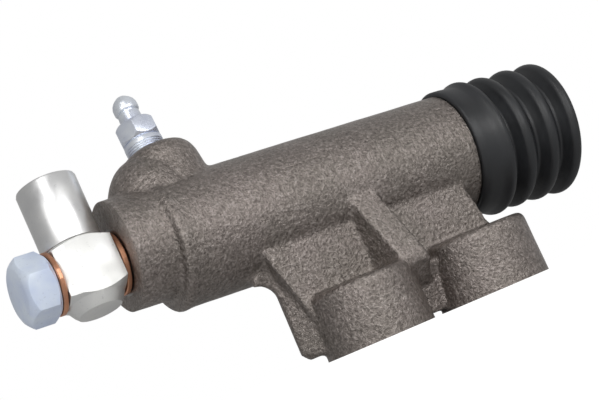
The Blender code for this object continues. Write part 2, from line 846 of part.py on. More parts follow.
def build_spring(low, high):
    # A conical coil: large at the bore's floor, small at the spring seat, with one flat turn each end.
    points_per_turn = 20
    count = int(spring_turns * points_per_turn)
    curve = bpy.data.curves.new("return_spring_path", "CURVE")
    curve.dimensions = "3D"
    curve.bevel_depth = spring_wire / 2
    curve.bevel_resolution = 1
    curve.use_fill_caps = True
    spline = curve.splines.new("POLY")
    spline.points.add(count)
    first = low + spring_wire / 2
    flat_share = spring_flat_turns / spring_turns
    flat_climb = spring_wire * spring_flat_climb
    open_climb = high - low - spring_wire - 2 * flat_climb
    for step, point in enumerate(spline.points):
        share = step / count
        opening = min(share, flat_share) / flat_share
        middle = min(max((share - flat_share) / (1 - 2 * flat_share), 0), 1)
        closing = 1 - min(1 - share, flat_share) / flat_share
        height = first + flat_climb * opening + open_climb * middle + flat_climb * closing
        radius = spring_large_radius + (spring_small_radius - spring_large_radius) * share
        angle = math.tau * spring_turns * share
        point.co = (radius * math.cos(angle), radius * math.sin(angle), height, 1)
    guide = add_object("return_spring_path", curve, bore_frame, cutters, (0, 0, 0), along_bore)
    bpy.context.view_layer.update()
    spring = curve_to_mesh("return_spring", guide, bore_frame, parts)
    shade_round(spring)
    give_material(spring, bright_steel)
    return spring


def build_stop_ring():
    # A flat ring with an opening, sprung into the bore's groove.
    ring_outer = bore_radius + stop_ring_depth - gap
    ring_inner = bore_radius - stop_ring_reach
    steps = 36
    outline = []
    for radius, order in ((ring_outer, range(steps + 1)), (ring_inner, range(steps, -1, -1))):
        for step in order:
            angle = stop_ring_opening / 2 + (math.tau - stop_ring_opening) * step / steps
            outline.append((radius * math.cos(angle), radius * math.sin(angle)))
    ring_middle = (stop_ring_inner + stop_ring_outer) / 2
    ring = outline_plate("stop_ring", outline, stop_ring_thickness - gap, bore_frame, parts,
                         (ring_middle, 0, 0), along_bore)
    shade_round(ring)
    give_material(ring, bright_steel)
    return ring


def boot_outer_profile():
    # Outer side of the boot from the cuff's edge to the lip: a cuff with a bead, then even ribs.
    edge = (boot_cuff_radius - collar_radius - gap) * 0.5
    points = [
        (boot_start, boot_cuff_radius - edge * 1.6),
        (boot_start, boot_cuff_radius - edge),
        (boot_start + edge, boot_cuff_radius),
        (bead_x - boot_bead_round * 1.8, boot_cuff_radius),
    ]
    points += arc((bead_x, boot_bead_radius - boot_bead_round), boot_bead_round, 150, 20, 4)
    for index in range(boot_rib_count):
        rib_x = first_rib_x + boot_rib_pitch * index
        points.append((rib_x - boot_rib_pitch / 2, boot_valley_radius))
        points += arc((rib_x, boot_rib_radius - boot_rib_round), boot_rib_round, 160, 20, 4)
    wall_x = last_rib_x + boot_rib_round
    lip_x = boot_end - boot_lip_length
    lip_edge = boot_lip_length * 0.3
    points += [
        (wall_x + boot_rib_round * 0.3, boot_valley_radius * 0.94),
        (wall_x + boot_rib_round * 0.6, boot_valley_radius * 0.75),
        (lip_x, boot_lip_radius + lip_edge),
        (lip_x + lip_edge, boot_lip_radius),
        (boot_end - lip_edge, boot_lip_radius),
        (boot_end, boot_lip_radius - lip_edge),
    ]
    return points


def boot_inner_profile():
    # Inner side, from the lip back to the cuff, with the bead that sits in the collar's groove.
    wall_x = last_rib_x + boot_rib_round - boot_wall
    points = [
        (boot_end, boot_mouth_radius),
        (boot_end - boot_lip_length - boot_wall, boot_mouth_radius),
        (wall_x + boot_rib_round * 0.6, boot_valley_radius * 0.75 - boot_wall * 0.5),
        (wall_x + boot_rib_round * 0.2, boot_valley_radius * 0.94 - boot_wall * 0.5),
    ]
    inner_round = boot_rib_round * 0.5
    for index in reversed(range(boot_rib_count)):
        rib_x = first_rib_x + boot_rib_pitch * index
        points += arc((rib_x, boot_rib_radius - boot_wall - inner_round), inner_round, 20, 160, 2)
        points.append((rib_x - boot_rib_pitch / 2, boot_valley_radius - boot_wall))
    fit_radius = collar_radius + gap
    bead = collar_radius - boot_groove_depth + gap
    cuff_end = body_length + gap
    points += [
        (cuff_end + boot_wall * 0.5, boot_valley_radius - boot_wall * 0.5),
        (cuff_end, fit_radius - collar_chamfer * 0.5),
        (cuff_end - collar_chamfer, fit_radius),
        (groove_high - gap, fit_radius),
        (groove_high - 2 * gap, bead),
        (groove_low + 2 * gap, bead),
        (groove_low + gap, fit_radius),
        (boot_start, fit_radius),
    ]
    return points


def build_boot():
    boot = turned_on_bore("dust_boot", boot_outer_profile() + boot_inner_profile(), parts)
    give_material(boot, rubber)
    return boot


clear_scene()
parts = make_collection("clutch_slave_cylinder")
cutters = make_collection("clutch_slave_cylinder_cutters")
frames = make_collection("clutch_slave_cylinder_frames")

cast_iron = make_material("cast_iron", (0.20, 0.18, 0.165), 0.62, 0.35)
nickel = make_material("nickel_plate", (0.80, 0.80, 0.79), 0.28, 1.0)
bright_steel = make_material("bright_steel", (0.74, 0.75, 0.76), 0.22, 1.0)
blue_zinc = make_material("blue_zinc", (0.42, 0.55, 0.72), 0.34, 1.0)
zinc = make_material("zinc_plate", (0.66, 0.68, 0.72), 0.30, 1.0)
copper = make_material("copper", (0.72, 0.38, 0.26), 0.32, 1.0)
rubber = make_material("black_rubber", (0.02, 0.02, 0.022), 0.55, 0.0)
anodised = make_material("anodised_aluminium", (0.62, 0.60, 0.52), 0.38, 1.0)

along_bore = (0, math.radians(90), 0)
mount_frame = make_empty("mount_frame", None, (-origin_x, -origin_y, 0))
bore_frame = make_empty("bore_frame", mount_frame, (0, 0, bore_height), (0, bore_dip, 0))
inlet_frame = make_empty("inlet_frame", bore_frame, (inlet_x, 0, 0), (-inlet_lean, 0, 0))
bleeder_frame = make_empty("bleeder_frame", bore_frame, (bleeder_x, 0, 0), (-bleeder_lean, 0, 0))

build_body()
build_inlet()
build_bleeder()
build_bore_pieces()
build_boot()
bpy.context.view_layer.update()
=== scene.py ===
import math

import bpy
from mathutils import Matrix, Vector


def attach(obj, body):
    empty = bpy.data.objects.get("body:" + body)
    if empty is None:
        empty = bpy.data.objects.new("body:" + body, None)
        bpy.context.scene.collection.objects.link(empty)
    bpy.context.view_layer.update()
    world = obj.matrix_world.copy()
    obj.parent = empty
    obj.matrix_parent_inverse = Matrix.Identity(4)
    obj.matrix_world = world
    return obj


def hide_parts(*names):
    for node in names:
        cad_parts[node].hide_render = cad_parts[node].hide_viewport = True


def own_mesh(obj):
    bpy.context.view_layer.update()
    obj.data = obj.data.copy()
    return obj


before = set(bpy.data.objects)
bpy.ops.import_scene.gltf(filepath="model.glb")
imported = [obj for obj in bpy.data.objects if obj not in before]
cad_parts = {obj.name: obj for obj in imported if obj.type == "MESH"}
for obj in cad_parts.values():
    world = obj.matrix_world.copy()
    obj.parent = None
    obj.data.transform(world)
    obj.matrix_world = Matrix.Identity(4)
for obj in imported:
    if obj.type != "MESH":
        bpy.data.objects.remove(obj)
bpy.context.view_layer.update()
print("frame loaded")

# lengths are written in millimetres, and mm turns them into metres; angles are written in degrees
mm = 0.001
weldDistance = 0.004 * mm

# where things are: the bore dips a little, and the inlet and the bleeder lean away from the flange
layout = {
    "flangeOrigin": (-57.991 * mm, 5.3 * mm, 0.0),
    "boreHeight": 47.4 * mm,
    "boreDip": 2.8,
    "inletX": -10.5 * mm,
    "inletLean": 11.5,
    "bleederX": 22.3 * mm,
    "bleederLean": 16.0,
}

quarterTurn = Matrix.Rotation(math.radians(90), 4, "Y")
flangeFrame = Matrix.Translation(layout["flangeOrigin"])
boreFrame = (flangeFrame @ Matrix.Translation((0, 0, layout["boreHeight"]))
             @ Matrix.Rotation(math.radians(layout["boreDip"]), 4, "Y"))
alongBore = boreFrame @ quarterTurn
inletFrame = (boreFrame @ Matrix.Translation((layout["inletX"], 0, 0))
              @ Matrix.Rotation(math.radians(-layout["inletLean"]), 4, "X"))
bleederFrame = (boreFrame @ Matrix.Translation((layout["bleederX"], 0, 0))
                @ Matrix.Rotation(math.radians(-layout["bleederLean"]), 4, "X"))


def deselectAll():
    if bpy.context.object and bpy.context.object.mode != "OBJECT":
        bpy.ops.object.mode_set(mode="OBJECT")
    bpy.ops.object.select_all(action="DESELECT")


def pick(piece):
    deselectAll()
    piece.select_set(True)
    bpy.context.view_layer.objects.active = piece


def newPiece(name):
    piece = bpy.context.object
    piece.name = name
    piece.data.name = name
    return piece


def applyAll(piece):
    pick(piece)
    for modifier in list(piece.modifiers):
        bpy.ops.object.modifier_apply(modifier=modifier.name)


def settle(piece, place):
    # moves the finished shape to its place and leaves the object at the origin
    pick(piece)
    piece.matrix_world = place
    bpy.ops.object.transform_apply(location=True, rotation=True, scale=True)


def smoothShade(piece, angle):
    pick(piece)
    bpy.ops.object.shade_smooth_by_angle(angle=math.radians(angle))


def turnedPiece(name, stations, sides, ring=False):
    # a circle is extruded and resized up the Z axis, one (height, radius) station after another;
    # with ring the last station joins the first, otherwise both ends are filled
    deselectAll()
    height, radius = stations[0]
    bpy.ops.mesh.primitive_circle_add(vertices=sides, radius=radius * mm, fill_type="NOTHING",
                                      location=(0, 0, 0))
    piece = newPiece(name)
    bpy.ops.object.mode_set(mode="EDIT")
    bpy.ops.mesh.select_all(action="SELECT")
    bpy.ops.transform.translate(value=(0, 0, height * mm))
    for nextHeight, nextRadius in stations[1:] + (stations[:1] if ring else []):
        bpy.ops.mesh.extrude_edges_move(
            TRANSFORM_OT_translate={"value": (0, 0, (nextHeight - height) * mm)})
        grow = nextRadius / radius
        bpy.ops.transform.resize(value=(grow, grow, 1), center_override=(0, 0, nextHeight * mm))
        height, radius = nextHeight, nextRadius
    bpy.ops.mesh.select_all(action="SELECT")
    if ring:
        bpy.ops.mesh.remove_doubles(threshold=weldDistance)
    else:
        bpy.ops.mesh.fill_holes(sides=0)
    bpy.ops.mesh.select_all(action="SELECT")
    bpy.ops.mesh.normals_make_consistent(inside=False)
    bpy.ops.object.mode_set(mode="OBJECT")
    return piece


def boxPiece(name, low, high):
    deselectAll()
    middle = [(a + b) / 2 * mm for a, b in zip(low, high)]
    size = [(b - a) * mm for a, b in zip(low, high)]
    bpy.ops.mesh.primitive_cube_add(size=1, location=middle, scale=size)
    piece = newPiece(name)
    bpy.ops.object.transform_apply(location=True, rotation=True, scale=True)
    return piece


def outlinePiece(name, points, low, high):
    # a filled flat outline in X and Y, as thick as low to high along Z
    deselectAll()
    curve = bpy.data.curves.new(name, "CURVE")
    curve.dimensions = "2D"
    curve.fill_mode = "BOTH"
    curve.extrude = (high - low) / 2 * mm
    spline = curve.splines.new("POLY")
    spline.points.add(len(points) - 1)
    for point, (x, y) in zip(spline.points, points):
        point.co = (x * mm, y * mm, 0, 1)
    spline.use_cyclic_u = True
    piece = bpy.data.objects.new(name, curve)
    bpy.context.collection.objects.link(piece)
    piece.location = (0, 0, (low + high) / 2 * mm)
    pick(piece)
    bpy.ops.object.convert(target="MESH")
    piece = newPiece(name)
    bpy.ops.object.transform_apply(location=True, rotation=True, scale=True)
    bpy.ops.object.mode_set(mode="EDIT")
    bpy.ops.mesh.select_all(action="SELECT")
    bpy.ops.mesh.remove_doubles(threshold=weldDistance)
    bpy.ops.mesh.normals_make_consistent(inside=False)
    bpy.ops.object.mode_set(mode="OBJECT")
    return piece


def hexPiece(name, acrossFlats, low, high, turn):
    deselectAll()
    radius = acrossFlats / 2 / math.cos(math.pi / 6)
    bpy.ops.mesh.primitive_cylinder_add(vertices=6, radius=radius * mm, depth=(high - low) * mm,
                                        location=(0, 0, (low + high) / 2 * mm),
                                        rotation=(0, 0, math.radians(turn)))
    piece = newPiece(name)
    bpy.ops.object.transform_apply(location=True, rotation=True, scale=True)
    return piece


def cutWith(piece, tool, operation="DIFFERENCE", keepFinish=False):
    modifier = piece.modifiers.new(tool.name, "BOOLEAN")
    modifier.operation = operation
    modifier.solver = "EXACT"
    modifier.object = tool
    modifier.material_mode = "TRANSFER" if keepFinish else "INDEX"
    pick(piece)
    bpy.ops.object.modifier_apply(modifier=modifier.name)
    bpy.data.objects.remove(tool, do_unlink=True)


def machine(body, tool, finish, place):
    # cuts the tool's shape out of the body and leaves the tool's finish on the cut faces
    giveFinish(tool, finish)
    settle(tool, place)
    cutWith(body, tool, keepFinish=True)


def softenEdges(piece, width, segments):
    bevel = piece.modifiers.new("soft edges", "BEVEL")
    bevel.width = width * mm
    bevel.segments = segments
    bevel.limit_method = "ANGLE"
    bevel.angle_limit = math.radians(25)
    applyAll(piece)


def joinPieces(pieces, name):
    deselectAll()
    for piece in pieces:
        piece.select_set(True)
    bpy.context.view_layer.objects.active = pieces[0]
    bpy.ops.object.join()
    return newPiece(name)


def giveFinish(piece, finish):
    piece.data.materials.clear()
    piece.data.materials.append(finish)


def arcStations(height, radius, size, start, end, steps):
    # stations on a round in a turned profile, angles in degrees from the Z axis
    stations = []
    for step in range(steps + 1):
        angle = math.radians(start + (end - start) * step / steps)
        stations.append((height + size * math.cos(angle), radius + size * math.sin(angle)))
    return stations


def newFinish(name, colour, roughness, metallic):
    finish = bpy.data.materials.new(name)
    finish.use_nodes = True
    shader = finish.node_tree.nodes["Principled BSDF"]
    shader.inputs["Base Color"].default_value = (*colour, 1)
    shader.inputs["Roughness"].default_value = roughness
    shader.inputs["Metallic"].default_value = metallic
    shader.location = (600, 0)
    finish.node_tree.nodes["Material Output"].location = (900, 0)
    return finish, finish.node_tree, shader


def addNode(tree, kind, place, settings=None):
    node = tree.nodes.new(kind)
    node.location = place
    for key, value in (settings or {}).items():
        if key in node.inputs:
            node.inputs[key].default_value = value
        else:
            setattr(node, key, value)
    return node


def addNoise(tree, place, scale, detail, roughness, stretch=(1, 1, 1)):
    # scale counts the lumps in one metre of the piece
    coordinates = addNode(tree, "ShaderNodeTexCoord", (place[0] - 400, place[1]))
    mapping = addNode(tree, "ShaderNodeMapping", (place[0] - 200, place[1]), {"Scale": stretch})
    noise = addNode(tree, "ShaderNodeTexNoise", place,
                    {"Scale": scale, "Detail": detail, "Roughness": roughness})
    tree.links.new(coordinates.outputs["Object"], mapping.inputs["Vector"])
    tree.links.new(mapping.outputs["Vector"], noise.inputs["Vector"])
    return noise.outputs["Fac"]


def addRamp(tree, place, source, stops):
    ramp = addNode(tree, "ShaderNodeValToRGB", place)
    elements = ramp.color_ramp.elements
    while len(elements) < len(stops):
        elements.new(0.5)
    for element, (position, colour) in zip(elements, stops):
        element.position = position
        element.color = (*colour, 1)
    tree.links.new(source, ramp.inputs["Fac"])
    return ramp.outputs["Color"]


def addMath(tree, place, operation, *values):
    node = addNode(tree, "ShaderNodeMath", place, {"operation": operation})
    for index, value in enumerate(values):
        if isinstance(value, (int, float)):
            node.inputs[index].default_value = value
        else:
            tree.links.new(value, node.inputs[index])
    return node.outputs["Value"]


def addProduct(tree, place, first, second):
    # one colour multiplied by the other; sockets 6 and 7 are the node's two colour inputs
    node = addNode(tree, "ShaderNodeMix", place, {"data_type": "RGBA", "blend_type": "MULTIPLY"})
    node.inputs[0].default_value = 1.0
    tree.links.new(first, node.inputs[6])
    tree.links.new(second, node.inputs[7])
    return node.outputs[2]


def addBump(tree, place, height, distance, strength=1.0, under=None):
    bump = addNode(tree, "ShaderNodeBump", place,
                   {"Distance": distance * mm, "Strength": strength})
    tree.links.new(height, bump.inputs["Height"])
    if under is not None:
        tree.links.new(under, bump.inputs["Normal"])
    return bump.outputs["Normal"]


castLook = {
    "dark": (0.150, 0.131, 0.120),
    "middle": (0.250, 0.222, 0.204),
    "light": (0.420, 0.378, 0.356),
    "metallic": 0.88,
    "grainScale": 1500.0,
    "lumpScale": 860.0,
    "grainDepth": 0.18,
    "lumpDepth": 0.46,
    "roughness": 0.37,
    "specular": 0.5,
}


def makeCastFinish():
    # sandy cast skin: sharp grains that catch the light, on small lumps, with faint stains
    roughness = castLook["roughness"]
    finish, tree, shader = newFinish("sandCastIron", castLook["middle"], roughness,
                                     castLook["metallic"])
    grain = addNoise(tree, (-700, 300), castLook["grainScale"], 2, 0.6)
    lumps = addNoise(tree, (-700, 0), castLook["lumpScale"], 4, 0.65)
    patches = addNoise(tree, (-700, -300), 60.0, 3, 0.5)
    mixed = addMath(tree, (-450, 200), "ADD",
                    addMath(tree, (-550, 250), "MULTIPLY", grain, 0.5),
                    addMath(tree, (-550, 100), "MULTIPLY", lumps, 0.5))
    tone = addRamp(tree, (-250, 200), mixed, [
        (0.36, castLook["dark"]), (0.50, castLook["middle"]), (0.64, castLook["light"])])
    stain = addRamp(tree, (-250, -200), patches, [
        (0.35, (0.90, 0.90, 0.88)), (0.65, (1.05, 1.03, 1.03))])
    tree.links.new(addProduct(tree, (50, 150), tone, stain), shader.inputs["Base Color"])
    rough = addRamp(tree, (50, -150), grain, [
        (0.3, (roughness - 0.1,) * 3), (0.7, (roughness + 0.14,) * 3)])
    tree.links.new(rough, shader.inputs["Roughness"])
    shader.inputs["Specular IOR Level"].default_value = castLook["specular"]
    normal = addBump(tree, (150, -400), lumps, castLook["lumpDepth"])
    normal = addBump(tree, (350, -400), grain, castLook["grainDepth"], 1.0, normal)
    tree.links.new(normal, shader.inputs["Normal"])
    return finish


def makeMachinedFinish(name, colour, roughness, stretch):
    # fine tool lines that run round or across the surface
    finish, tree, shader = newFinish(name, colour, roughness, 1.0)
    lines = addNoise(tree, (-700, 0), 900.0, 2, 0.5, stretch)
    blotches = addNoise(tree, (-700, -300), 140.0, 3, 0.5)
    tone = addRamp(tree, (-300, 200), lines, [
        (0.3, tuple(c * 0.78 for c in colour)), (0.7, colour)])
    worn = addRamp(tree, (-300, -50), blotches, [(0.35, (0.9, 0.9, 0.9)), (0.65, (1, 1, 1))])
    tree.links.new(addProduct(tree, (0, 150), tone, worn), shader.inputs["Base Color"])
    rough = addRamp(tree, (-300, -300), blotches, [
        (0.3, (roughness * 0.8,) * 3), (0.7, (roughness * 1.25,) * 3)])
    tree.links.new(rough, shader.inputs["Roughness"])
    tree.links.new(addBump(tree, (300, -300), lines, 0.02, 0.6), shader.inputs["Normal"])
    return finish


def makePlatedFinish(name, light, dark, roughness, metallic=1.0):
    # plated steel: soft colour drift, faint specks and uneven gloss
    finish, tree, shader = newFinish(name, light, roughness, metallic)
    drift = addNoise(tree, (-700, 200), 110.0, 3, 0.5)
    specks = addNoise(tree, (-700, -200), 1100.0, 2, 0.6)
    tone = addRamp(tree, (-300, 200), drift, [(0.35, dark), (0.6, light)])
    dust = addRamp(tree, (-300, -50), specks, [(0.26, (0.82, 0.82, 0.83)), (0.36, (1, 1, 1))])
    tree.links.new(addProduct(tree, (0, 150), tone, dust), shader.inputs["Base Color"])
    rough = addRamp(tree, (-300, -300), drift, [
        (0.3, (roughness * 0.8,) * 3), (0.7, (roughness * 1.3,) * 3)])
    tree.links.new(rough, shader.inputs["Roughness"])
    tree.links.new(addBump(tree, (300, -300), specks, 0.02, 0.6), shader.inputs["Normal"])
    return finish


def makeRubberFinish(name, colour):
    # matt rubber with a faint bloom and fine pores
    finish, tree, shader = newFinish(name, colour, 0.45, 0.0)
    bloom = addNoise(tree, (-700, 200), 90.0, 4, 0.6)
    pores = addNoise(tree, (-700, -200), 1600.0, 2, 0.5)
    tone = addRamp(tree, (-300, 200), bloom, [
        (0.35, tuple(c * 0.75 for c in colour)), (0.7, tuple(c * 1.35 for c in colour))])
    tree.links.new(tone, shader.inputs["Base Color"])
    rough = addRamp(tree, (-300, -100), bloom, [(0.3, (0.38,) * 3), (0.7, (0.54,) * 3)])
    tree.links.new(rough, shader.inputs["Roughness"])
    shader.inputs["Specular IOR Level"].default_value = 0.60
    tree.links.new(addBump(tree, (300, -300), pores, 0.02, 0.5), shader.inputs["Normal"])
    return finish


sandCast = makeCastFinish()
machinedIron = makeMachinedFinish("machinedIron", (0.40, 0.39, 0.38), 0.34, (1, 1, 1))
honedBore = makeMachinedFinish("honedBore", (0.52, 0.52, 0.52), 0.24, (3, 1, 1))
nickelPlate = makePlatedFinish("nickelPlate", (0.80, 0.80, 0.78), (0.73, 0.73, 0.72), 0.46, 0.85)
brightSteel = makePlatedFinish("brightSteel", (0.84, 0.84, 0.83), (0.78, 0.78, 0.78), 0.36)
blueZinc = makePlatedFinish("blueZinc", (0.80, 0.88, 1.0), (0.68, 0.77, 0.97), 0.36, 0.50)
zincPlate = makePlatedFinish("zincPlate", (0.84, 0.88, 0.94), (0.70, 0.74, 0.86), 0.30, 0.8)
copperFinish = makePlatedFinish("annealedCopper", (0.70, 0.36, 0.22), (0.58, 0.28, 0.17), 0.34)
anodised = makeMachinedFinish("anodisedAluminium", (0.58, 0.56, 0.50), 0.32, (2, 1, 1))
springSteel = makePlatedFinish("springSteel", (0.42, 0.42, 0.44), (0.30, 0.30, 0.32), 0.34)
bootRubber = makeRubberFinish("bootRubber", (0.011, 0.012, 0.014))
sealRubber = makeRubberFinish("sealRubber", (0.03, 0.028, 0.028))
print("finishes ready")


castShape = {
    "voxel": 0.66,
    "smoothing": 3,
    "unevenness": 0.12,
    "barrelRadius": 18.0,
    "barrelStart": 12.0,
    "barrelEnd": 107.6,
    "endRadius": 16.0,
    "endRise": 1.8,
    "webFront": -14.8,
    "webBack": -7.1,
    "webLeft": 35.8,
    "webRight": 103.0,
    "flangeSide": 15.0,
    "padRadius": 16.0,
    "padHeight": 18.3,
    "firstPad": 57.0,
    "padSpacing": 39.0,
    "holePitch": 1.5,
    "gussetMiddle": 69.2,
    "gussetTop": 41.0,
    "gussetRoot": 11.0,
    "gussetReach": 25.8,
    # each side's place at the gusset's top, and its slope downwards and outwards
    "gussetLeft": (-8.0, 0.04, 0.36),
    "gussetRight": (2.4, 0.17, 0.0),
    "valleyLeft": 66.6,
    "valleyRight": 83.2,
    "bossTop": 27.6,
    "bossRadius": 11.6,
    "bossShift": 1.2,
    "skirtRadius": 13.2,
    "skirtShift": -4.6,
    "boreRadius": 11.1,
}


def castBarrel(shape):
    # the barrel starts with a raised lip, and the section at its closed end is narrower
    start, radius = shape["barrelStart"], shape["barrelRadius"]
    barrel = turnedPiece("barrel", [
        (start, radius - 2.0), (start + 0.3, radius - 0.3), (start + 1.2, radius + 0.4),
        (start + 2.4, radius + 0.3), (start + 4.4, radius), (60.0, radius),
        (shape["barrelEnd"] + 3, radius - 0.25)], 96)
    settle(barrel, alongBore)
    endSection = turnedPiece("endSection", [
        (-1.5, shape["endRadius"] - 0.2), (start + 4, shape["endRadius"])], 96)
    settle(endSection, boreFrame @ Matrix.Translation((0, 0, shape["endRise"] * mm)) @ quarterTurn)
    return [barrel, endSection]


def castBoss(shape):
    # the bleeder's boss and the wide skirt at its foot
    top, radius = shape["bossTop"] + 0.5, shape["bossRadius"]
    boss = turnedPiece("bleederBoss", [
        (8.0, radius + 1.4), (top - 8, radius + 0.3), (top - 4.4, radius),
        (top - 2.4, radius - 0.6), (top - 1.0, radius - 1.6), (top - 0.2, radius - 2.9),
        (top, 7.8), (top, 5.5), (top, 3.0)], 96)
    settle(boss, bleederFrame @ Matrix.Translation((shape["bossShift"] * mm, 0, 0)))
    radius = shape["skirtRadius"]
    skirt = turnedPiece("bossSkirt", [
        (6.0, radius + 0.6), (14.0, radius + 0.2), (17.5, radius - 0.4), (20.5, radius - 1.6),
        (23.0, radius - 3.2), (25.0, radius - 5.0), (26.4, radius - 7.0), (27.0, 3.0)], 96)
    settle(skirt, bleederFrame @ Matrix.Translation((shape["skirtShift"] * mm, 0, 0)))
    return [boss, skirt]


def castWeb(shape):
    # the web has a slanted left edge, and beside it a sweep runs back and up into the barrel;
    # both outlines are drawn along the flange and upwards, and made thick outwards
    left, right = shape["webLeft"], shape["webRight"]
    standUp = flangeFrame @ Matrix(((1, 0, 0, 0), (0, 0, -1, 0), (0, 1, 0, 0), (0, 0, 0, 1)))
    web = outlinePiece("web", [
        (left + 5.5, 2.6), (right + 0.6, 2.6), (right, 19.3), (right - 2.8, 32.0),
        (right - 2.8, 42.0), (left - 3.4, 42.0), (left - 2.2, 36.0), (left + 3.6, 17.5),
        (left + 5.0, 12.0)], -shape["webBack"], -shape["webFront"])
    settle(web, standUp)

    sweep, steps = 5.4, 8
    outline = [(left + 2.1, 2.6), (left + 6.0, 2.6), (left + 6.0, 43.0), (left - 5.0, 43.0)]
    for step in range(steps + 1):
        angle = math.radians(90 - 90 * step / steps)
        outline.append((left - 5.2 + sweep * math.cos(angle), 21.6 + sweep * math.sin(angle)))
    outline.append((left + 0.2, 4.7))
    webSweep = outlinePiece("webSweep", outline, -shape["webBack"], 9.0)
    for vertex in webSweep.data.vertices:
        if vertex.co.z > 8.5 * mm and vertex.co.x > (left + 5) * mm:
            vertex.co.z = (-shape["webFront"] - 0.4) * mm
    settle(webSweep, standUp)
    return [web, webSweep]


def castPads(shape):
    pads = []
    for index in range(2):
        height, radius = shape["padHeight"], shape["padRadius"] + 0.4 * index
        pad = turnedPiece("pad", [
            (-3.0, radius + 0.1), (height - 2.0, radius - 0.5), (height - 1.0, radius - 0.8),
            (height - 0.2, radius - 1.6), (height, radius - 2.6)], 96)
        centre = (shape["firstPad"] + shape["padSpacing"] * index) * mm
        settle(pad, flangeFrame @ Matrix.Translation((centre, -shape["flangeSide"] * mm, 0)))
        pads.append(pad)
    return pads


def castGusset(shape):
    # the gusset widens towards the web, and a sloping wall closes the valley between the pads;
    # both outlines are drawn outwards and upwards, and made thick along the flange
    standUp = Matrix(((0, 0, 1, 0), (1, 0, 0, 0), (0, 1, 0, 0), (0, 0, 0, 1)))
    top, root = shape["gussetTop"], shape["gussetRoot"]
    reach, high = shape["gussetReach"], shape["padHeight"]
    gusset = outlinePiece("gusset", [
        (-root, top), (-17.0, top), (-reach, high), (-reach + 0.4, high - 2.4),
        (-18.6, high - 8.4), (-root, high - 8.4)], -4.6, 4.6)
    for vertex in gusset.data.vertices:
        out, drop = -vertex.co.x / mm - root, top - vertex.co.y / mm
        side, perDrop, perOut = shape["gussetLeft" if vertex.co.z < 0 else "gussetRight"]
        vertex.co.z = (side + perDrop * drop + perOut * out) * mm
    settle(gusset, flangeFrame @ Matrix.Translation((shape["gussetMiddle"] * mm, 0, 0)) @ standUp)

    valley = outlinePiece("valley", [
        (-root, 1.2), (-16.0, 1.2), (-16.4, 5.0), (-17.6, 11.0), (-19.4, 15.0), (-15.0, 16.6),
        (-root, 16.6)], shape["valleyLeft"], shape["valleyRight"])
    settle(valley, flangeFrame @ standUp)
    return [gusset, valley]


def buildCastBody():
    shape = castShape
    body = joinPieces(castBarrel(shape) + castBoss(shape) + castWeb(shape) + castPads(shape)
                      + castGusset(shape), "castBody")

    # one skin over all of it, with small fillets and an uneven surface
    remesh = body.modifiers.new("one skin", "REMESH")
    remesh.mode = "VOXEL"
    remesh.voxel_size = shape["voxel"] * mm
    smooth = body.modifiers.new("fillets", "SMOOTH")
    smooth.factor = 0.5
    smooth.iterations = shape["smoothing"]
    texture = bpy.data.textures.new("castUneven", "CLOUDS")
    texture.noise_scale = 5 * mm
    texture.noise_depth = 2
    uneven = body.modifiers.new("uneven skin", "DISPLACE")
    uneven.texture = texture
    uneven.texture_coords = "LOCAL"
    uneven.mid_level = 0.5
    uneven.strength = shape["unevenness"] * mm
    applyAll(body)
    giveFinish(body, sandCast)
    cutMachinedFaces(body, shape)
    smoothShade(body, 40)
    return body


def cutMachinedFaces(body, shape):
    # milled undersides of the pads
    mill = boxPiece("mill", (25, -42, -12), (125, 12, 0))
    machine(body, mill, machinedIron, flangeFrame)

    # flat face of the closed end
    face = turnedPiece("faceTool", [(-6.0, 24.0), (0.0, 24.0)], 48)
    machine(body, face, sandCast, alongBore)

    # turned collar with the groove for the boot
    end = shape["barrelEnd"]
    collar = turnedPiece("collarTool", [
        (end, 24), (end, 17.4), (end + 1.5, 17.4), (end + 1.5, 16.1), (end + 3.9, 16.1),
        (end + 3.9, 17.4), (end + 4.8, 17.4), (113.0, 16.8), (113.0, 6.0), (118.0, 6.0),
        (118.0, 24.0)], 96, True)
    machine(body, collar, machinedIron, alongBore)

    # the bore, its stop-ring groove and its chamfered mouth
    radius = shape["boreRadius"]
    bore = turnedPiece("boreTool", [
        (15.5, 3.0), (17.0, 4.4), (17.0, radius), (108.5, radius), (108.5, 12.3), (110.5, 12.3),
        (110.5, radius), (112.2, radius), (114.0, 12.9)], 96)
    machine(body, bore, honedBore, alongBore)

    # seat and tapped hole for the banjo bolt
    inlet = turnedPiece("inletTool", [
        (-2.0, 9.6), (0.02, 9.6), (0.02, 6.9), (0.8, 6.2), (13.0, 6.2), (14.5, 2.2),
        (18.0, 2.2)], 64)
    machine(body, inlet, machinedIron, alongBore)

    # spot face and hole on the bleeder boss
    top = shape["bossTop"]
    spot = turnedPiece("spotTool", [
        (10.0, 1.3), (top - 12.4, 1.3), (top - 10.0, 4.2), (top - 0.8, 4.2), (top, 5.0),
        (top, 15.0), (top + 4, 15.0)], 64)
    machine(body, spot, sandCast, bleederFrame)

    # tapped bolt holes
    pitch = shape["holePitch"]
    for index in range(2):
        centre = (shape["firstPad"] + shape["padSpacing"] * index) * mm
        stations = [(-1.0, 6.2), (0.9, 4.3)]
        for turn in range(7):
            stations += [(1.65 + turn * pitch, 4.75), (2.4 + turn * pitch, 4.3)]
        stations += [(12.8, 4.25), (14.2, 0.6)]
        hole = turnedPiece("tapTool", stations, 40)
        machine(body, hole, machinedIron,
                flangeFrame @ Matrix.Translation((centre, -shape["flangeSide"] * mm, 0)))


castBody = buildCastBody()
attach(castBody, "housing")
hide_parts("cylinder_body")
print("cast body ready", len(castBody.data.polygons))


